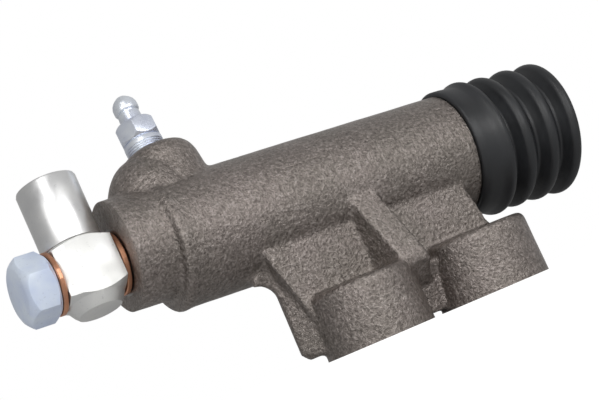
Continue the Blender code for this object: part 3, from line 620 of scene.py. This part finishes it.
inletShape = {
    "blockLength": 16.8,
    "blockWidth": 17.0,
    "blockBelow": -11.3,
    "blockAbove": 8.4,
    "blockChamfer": (3.2, 1.6),
    "sleeveRadius": 8.8,
    "sleeveBore": 5.6,
    "sleeveTop": 28.0,
    "sleevePitch": 1.5,
    "boltFlats": 17.6,
    "boltTurn": -21.0,
    "boltLow": -30.2,
    "boltHigh": -21.0,
}


def buildBlock():
    shape = inletShape
    halfLength, halfWidth = shape["blockLength"] / 2, shape["blockWidth"] / 2
    inset, depth = shape["blockChamfer"]
    low, high = shape["blockBelow"], shape["blockAbove"]
    block = outlinePiece("banjoBlock", [
        (halfLength, -halfWidth), (halfLength, halfWidth), (inset - halfLength, halfWidth),
        (-halfLength, halfWidth - depth), (-halfLength, depth - halfWidth),
        (inset - halfLength, -halfWidth)], low, high)

    # both ends are turned round, and a cross hole takes the bolt
    turnedEnds = turnedPiece("blockEnds", [
        (low - 1, 5.6), (low + 0.35, 6.6), (low + 1.0, 7.2), (low * 0.72, halfWidth),
        (low * 0.5, 12.9), (5.9, 12.9), (8.15, halfWidth), (high + 1, 8.2)], 96)
    cutWith(block, turnedEnds, "INTERSECT")
    softenEdges(block, 0.4, 3)
    cross = turnedPiece("crossTool", [(-12, 6.6), (12, 6.6)], 64)
    settle(cross, quarterTurn)
    cutWith(block, cross)
    giveFinish(block, nickelPlate)
    settle(block, inletFrame)
    smoothShade(block, 30)
    return block


def buildSleeve():
    shape = inletShape
    outer, bore, top = shape["sleeveRadius"], shape["sleeveBore"], shape["sleeveTop"]
    pitch = shape["sleevePitch"]
    stations = [(8.7, 3.0), (8.45, outer - 0.05), (8.6, outer), (top - 0.9, outer),
                (top - 0.3, outer - 0.25), (top, outer - 0.9), (top, bore + 0.9)]
    for turn in range(7):
        stations += [(top - 0.9 - turn * pitch, bore - 0.1),
                     (top - 1.65 - turn * pitch, bore + 0.4)]
    stations += [(top - 11.6, bore), (14.7, bore), (14.7, 3.6), (16.9, 2.2), (16.9, 1.6),
                 (11.6, 1.6)]
    sleeve = turnedPiece("portSleeve", stations, 96, True)
    giveFinish(sleeve, brightSteel)
    settle(sleeve, inletFrame)
    smoothShade(sleeve, 30)
    return sleeve


def buildBolt():
    shape = inletShape
    low, high, flats = shape["boltLow"], shape["boltHigh"], shape["boltFlats"]
    head = hexPiece("banjoBolt", flats, low, high, shape["boltTurn"])
    flat = flats / 2
    turnedHead = turnedPiece("boltHeadTool", [
        (low - 0.4, flat * 0.70), (low + 0.05, flat * 0.86), (low + 0.55, flat * 0.97),
        (low + 2.3, flat * 1.17), (high - 1.5, flat * 1.17), (high - 0.4, flat),
        (high + 0.2, flat * 0.97)], 96)
    cutWith(head, turnedHead, "INTERSECT")
    softenEdges(head, 0.35, 3)
    shank = turnedPiece("boltShank", [
        (high - 1.0, 5.9), (-14.5, 5.9), (-13.5, 4.9), (-7.5, 4.9), (-6.5, 5.9), (10.0, 5.9),
        (11.0, 4.9)], 48)
    cutWith(head, shank, "UNION")
    giveFinish(head, blueZinc)
    settle(head, alongBore)
    smoothShade(head, 30)
    return head


banjoBlock = buildBlock()
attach(banjoBlock, "housing")
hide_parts("banjo_block")

portSleeve = buildSleeve()
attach(portSleeve, "housing")
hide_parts("port_sleeve")

banjoBolt = buildBolt()
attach(banjoBolt, "housing")
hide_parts("banjo_bolt")
print("inlet ready")


bleederShape = {
    "collarLow": 28.4,
    "collarRadius": 5.7,
    "hexLow": 32.9,
    "hexHigh": 38.8,
    "flats": 11.2,
    "turn": 37.0,
    "neckRadius": 3.25,
    "tipLow": 42.4,
    "tipRadius": 3.7,
    "tipTop": 47.7,
}


def buildBleeder():
    shape = bleederShape
    low, high, flats = shape["hexLow"], shape["hexHigh"], shape["flats"]
    bleeder = hexPiece("bleederScrew", flats, low, high, shape["turn"])
    flat = flats / 2
    chamfer = turnedPiece("bleederHexTool", [
        (low - 0.3, flat * 0.94), (low + 0.05, flat * 0.98), (low + 1.1, flat * 1.16),
        (high - 1.5, flat * 1.16), (high - 0.1, flat * 0.96), (high + 0.4, flat * 0.7)], 96)
    cutWith(bleeder, chamfer, "INTERSECT")
    softenEdges(bleeder, 0.2, 2)

    # from the seat up: thread, collar, neck and nipple with the hole inside
    collar, edge = shape["collarRadius"], shape["collarLow"]
    neck, ball = shape["neckRadius"], shape["tipRadius"]
    tip, top = shape["tipLow"], shape["tipTop"]
    stations = [(16.3, 0.9), (18.7, 3.8), (edge, 3.8), (edge, collar - 0.5),
                (edge + 0.3, collar - 0.1)]
    for groove in range(3):
        # the last threads, which stay above the boss
        rise = edge + 0.5 + groove * 0.75
        stations += [(rise, collar), (rise + 0.3, collar - 0.35), (rise + 0.6, collar)]
    stations += [(low - 0.75, collar), (low - 0.45, collar - 0.15), (low - 0.2, collar - 0.7),
                 (low + 0.1, collar - 0.8), (low + 0.4, neck), (high, neck),
                 (tip - 1.5, neck + 0.05), (tip - 0.3, neck - 0.05),
                 (tip - 0.1, neck - 0.25), (tip + 0.1, neck - 0.2),
                 (tip + 0.3, ball - 0.25), (tip + 0.7, ball - 0.05), (tip + 1.4, ball),
                 (tip + 2.5, ball - 0.05), (tip + 3.5, ball - 0.4), (tip + 4.3, ball - 1.0),
                 (tip + 4.9, ball - 1.7), (top, 1.5), (top - 0.3, 1.1), (top - 6, 1.0)]
    stem = turnedPiece("bleederStem", stations, 72)
    cutWith(bleeder, stem, "UNION")
    giveFinish(bleeder, zincPlate)
    settle(bleeder, bleederFrame)
    smoothShade(bleeder, 30)
    return bleeder


bleederScrew = buildBleeder()
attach(bleederScrew, "bleeder")
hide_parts("bleeder_screw")
print("bleeder ready")


bootShape = {
    "start": 107.9,
    "cuffRadius": 19.1,
    "bead": 117.3,
    "beadRadius": 20.4,
    "ribRadius": 19.9,
    "ribRound": 1.9,
    "valleyRadius": 16.1,
    "ribPitch": 7.8,
    "firstRib": 124.32,
    "ribs": 3,
    "wall": 1.7,
    "end": 146.32,
    # how the soft boot hangs: at each height along the bore, its drop, its shift and its tilt
    "sag": [(107.9, 0.05, 0.0, 0.0), (117.3, 0.60, -0.3, -0.7), (124.3, 0.75, 0.15, -0.4),
            (132.1, 0.90, 0.70, 1.2), (139.9, 1.20, 0.9, 2.2), (146.3, 0.90, -0.1, 2.0)],
}


def hangBoot(boot):
    # before it is settled the boot stands upright, and its X axis points down in the finished part
    for vertex in boot.data.vertices:
        height = vertex.co.z / mm
        drop, shift, tilt = 0.0, 0.0, 0.0
        for low, high in zip(bootShape["sag"], bootShape["sag"][1:]):
            if low[0] <= height <= high[0]:
                share = (height - low[0]) / (high[0] - low[0])
                share = share * share * (3 - 2 * share)
                drop, shift, tilt = (a + (b - a) * share for a, b in zip(low[1:], high[1:]))
        vertex.co.z += shift * mm - vertex.co.x * math.tan(math.radians(tilt))
        vertex.co.x += drop * mm


def buildBoot():
    shape = bootShape
    start, cuff, bead, end = shape["start"], shape["cuffRadius"], shape["bead"], shape["end"]
    rib, valley, wall = shape["ribRadius"], shape["valleyRadius"], shape["wall"]
    pitch = shape["ribPitch"]

    # outside: cuff, bead, ribs and the end plate with its lip
    stations = [(start, 17.8), (start, cuff - 0.7), (start + 0.2, cuff - 0.3), (start + 0.7, cuff)]
    stations += [(start + 3, cuff + 0.1), (bead - 3.4, cuff + 0.15), (bead - 2.2, cuff + 0.35)]
    stations += arcStations(bead, shape["beadRadius"] - 1.7, 1.7, 125, 10, 8)
    for index in range(shape["ribs"]):
        middle = shape["firstRib"] + pitch * index
        stations += arcStations(middle - pitch / 2, valley + 0.9, 0.9, 215, 325, 6)
        stations += arcStations(middle, rib - shape["ribRound"], shape["ribRound"], 165, 15, 12)
    last = shape["firstRib"] + pitch * (shape["ribs"] - 1)
    stations += [(last + 2.4, valley * 0.95), (last + 2.9, valley * 0.82),
                 (last + 3.2, valley * 0.68), (last + 3.6, 8.9), (end - 2.2, 8.0),
                 (end - 1.6, 7.6), (end - 0.7, 7.55), (end - 0.15, 7.3), (end, 6.8), (end, 5.7),
                 (end - 0.5, 5.2), (end - 4.2, 5.2)]

    # inside: back through the ribs to the lip that sits in the body's groove
    stations += [(last + 1.4, valley * 0.74 - wall * 0.5),
                 (last + 0.7, valley * 0.93 - wall * 0.5)]
    for index in reversed(range(shape["ribs"])):
        middle = shape["firstRib"] + pitch * index
        stations += arcStations(middle, rib - wall - 0.95, 0.95, 20, 160, 5)
        stations.append((middle - pitch / 2, valley - wall))
    stations += [(114.1, valley - wall * 0.5), (113.3, 17.4), (112.7, 17.7), (111.2, 17.7),
                 (110.9, 16.4), (109.7, 16.4), (109.4, 17.7), (start + 0.3, 17.7)]
    boot = turnedPiece("dustBoot", stations, 128, True)
    hangBoot(boot)
    giveFinish(boot, bootRubber)
    settle(boot, alongBore)
    smoothShade(boot, 50)
    return boot


dustBoot = buildBoot()
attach(dustBoot, "housing")
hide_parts("dust_boot")
print("boot ready")

# the washers and the pieces in the bore keep the CAD model's shape and get a finish
for nodeName, finish in {
    "inner_copper_washer": copperFinish, "outer_copper_washer": copperFinish, "piston": anodised,
    "rear_seal": sealRubber, "primary_cup": sealRubber, "spring_seat": nickelPlate,
    "return_spring": springSteel, "stop_ring": springSteel,
}.items():
    giveFinish(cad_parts[nodeName], finish)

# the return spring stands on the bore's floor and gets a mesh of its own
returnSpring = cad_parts["return_spring"]
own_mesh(returnSpring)
print("bore pieces ready")


# the lamps' sizes and their distance are in metres
stageLook = {
    "floorColour": (0.62, 0.62, 0.62),
    "floorGlow": 1.36,
    "floorGlowShare": 0.7,
    "softLight": 0.42,
    "metalLight": 0.35,
    "metalRight": 0.56,
    "lampDistance": 1.05,
    "lampTarget": 0.04,
    "leftLamp": {"turn": -42.0, "lift": 22.0, "size": (0.64, 0.30), "power": 2.5},
    "rightLamp": {"turn": 11.0, "lift": 22.0, "size": (0.84, 0.28), "power": 3.5},
    "highLamp": {"turn": -32.0, "lift": 50.0, "size": (0.40, 0.34), "power": 1.3},
}


# the photograph's viewpoint: level with the mounting face, the part rolled in the picture
cameraLook = {
    "turn": 25.43,
    "lift": -4.0,
    "roll": 23.06,
    "aimRight": 52.08,
    "aimUp": 43.80,
    "distance": 597.28,
    "lens": 132.2,
    "sensor": 36.0,
}


def buildStage():
    # a white floor that glows a little for the camera, so that soft shadows stay pale
    deselectAll()
    bpy.ops.mesh.primitive_plane_add(size=6, location=(0, 0, 0))
    floor = newPiece("studioFloor")
    finish, tree, shader = newFinish("paleFloor", stageLook["floorColour"], 0.9, 0.0)
    white = addNode(tree, "ShaderNodeEmission", (600, 250),
                    {"Color": (1, 1, 1, 1), "Strength": stageLook["floorGlow"]})
    path = addNode(tree, "ShaderNodeLightPath", (300, 400))
    share = addMath(tree, (500, 450), "MULTIPLY", path.outputs["Is Camera Ray"],
                    stageLook["floorGlowShare"])
    mixer = addNode(tree, "ShaderNodeMixShader", (850, 100))
    tree.links.new(share, mixer.inputs[0])
    tree.links.new(shader.outputs["BSDF"], mixer.inputs[1])
    tree.links.new(white.outputs["Emission"], mixer.inputs[2])
    tree.links.new(mixer.outputs["Shader"], tree.nodes["Material Output"].inputs["Surface"])
    giveFinish(floor, finish)

    # the camera sees plain white, and metal mirrors a room that is brighter on its right
    world = bpy.context.scene.world or bpy.data.worlds.new("studio")
    bpy.context.scene.world = world
    world.use_nodes = True
    tree = world.node_tree
    tree.nodes.clear()
    output = addNode(tree, "ShaderNodeOutputWorld", (900, 0))
    path = addNode(tree, "ShaderNodeLightPath", (-400, 300))
    seen = addMath(tree, (-200, 300), "MAXIMUM", path.outputs["Is Camera Ray"],
                   path.outputs["Is Transmission Ray"])
    coordinates = addNode(tree, "ShaderNodeTexCoord", (-600, -200))
    split = addNode(tree, "ShaderNodeSeparateXYZ", (-400, -200))
    tree.links.new(coordinates.outputs["Generated"], split.inputs["Vector"])
    facing = addMath(tree, (-300, -100), "MULTIPLY_ADD", split.outputs["X"], 0.5, 0.5)
    room = addRamp(tree, (-200, -200), facing, [
        (0.35, (stageLook["metalLight"],) * 3), (0.80, (stageLook["metalRight"],) * 3)])
    soft = addNode(tree, "ShaderNodeBackground", (0, 100),
                   {"Color": (1, 1, 1, 1), "Strength": stageLook["softLight"]})
    mirror = addNode(tree, "ShaderNodeBackground", (0, -50), {"Strength": 1.0})
    tree.links.new(room, mirror.inputs["Color"])
    plain = addNode(tree, "ShaderNodeBackground", (300, -150),
                    {"Color": (1, 1, 1, 1), "Strength": 1.0})
    metal = addNode(tree, "ShaderNodeMixShader", (300, 50))
    tree.links.new(path.outputs["Is Glossy Ray"], metal.inputs[0])
    tree.links.new(soft.outputs["Background"], metal.inputs[1])
    tree.links.new(mirror.outputs["Background"], metal.inputs[2])
    mixer = addNode(tree, "ShaderNodeMixShader", (600, 0))
    tree.links.new(seen, mixer.inputs[0])
    tree.links.new(metal.outputs["Shader"], mixer.inputs[1])
    tree.links.new(plain.outputs["Background"], mixer.inputs[2])
    tree.links.new(mixer.outputs["Shader"], output.inputs["Surface"])


def addSoftbox(name, lamp):
    # turn is measured from the front (-Y) towards +X, and lift from the floor upwards
    turn, lift = math.radians(lamp["turn"]), math.radians(lamp["lift"])
    aim = Vector((math.sin(turn) * math.cos(lift), -math.cos(turn) * math.cos(lift),
                  math.sin(lift)))
    middle = Vector((0, 0, stageLook["lampTarget"]))
    place = middle + aim * stageLook["lampDistance"]
    deselectAll()
    bpy.ops.object.light_add(type="AREA", location=place)
    light = bpy.context.object
    light.name = name
    light.data.shape = "RECTANGLE"
    light.data.size, light.data.size_y = lamp["size"]
    light.data.energy = lamp["power"]
    light.rotation_euler = (middle - place).to_track_quat("-Z", "Y").to_euler()


def addCamera():
    turn, lift, roll = (math.radians(cameraLook[key]) for key in ("turn", "lift", "roll"))
    towards = Vector((-math.sin(turn) * math.cos(lift), -math.cos(turn) * math.cos(lift),
                      math.sin(lift)))
    right = Vector((math.cos(turn), -math.sin(turn), 0))
    up = Vector((math.sin(lift) * math.sin(turn), math.sin(lift) * math.cos(turn),
                 math.cos(lift)))
    target = right * cameraLook["aimRight"] * mm + up * cameraLook["aimUp"] * mm
    place = Vector(layout["flangeOrigin"]) + target + towards * cameraLook["distance"] * mm
    cameraRight = right * math.cos(roll) - up * math.sin(roll)
    cameraUp = right * math.sin(roll) + up * math.cos(roll)
    deselectAll()
    bpy.ops.object.camera_add()
    camera = bpy.context.object
    camera.name = "productCamera"
    camera.data.lens = cameraLook["lens"]
    camera.data.sensor_width = cameraLook["sensor"]
    camera.data.clip_start = 0.01
    basis = Matrix((cameraRight, cameraUp, towards)).transposed().to_4x4()
    camera.matrix_world = Matrix.Translation(place) @ basis
    bpy.context.scene.camera = camera


buildStage()
addCamera()
for lampName in ("leftLamp", "rightLamp", "highLamp"):
    addSoftbox(lampName, stageLook[lampName])
bpy.context.scene.view_settings.view_transform = "Standard"
print("stage ready")
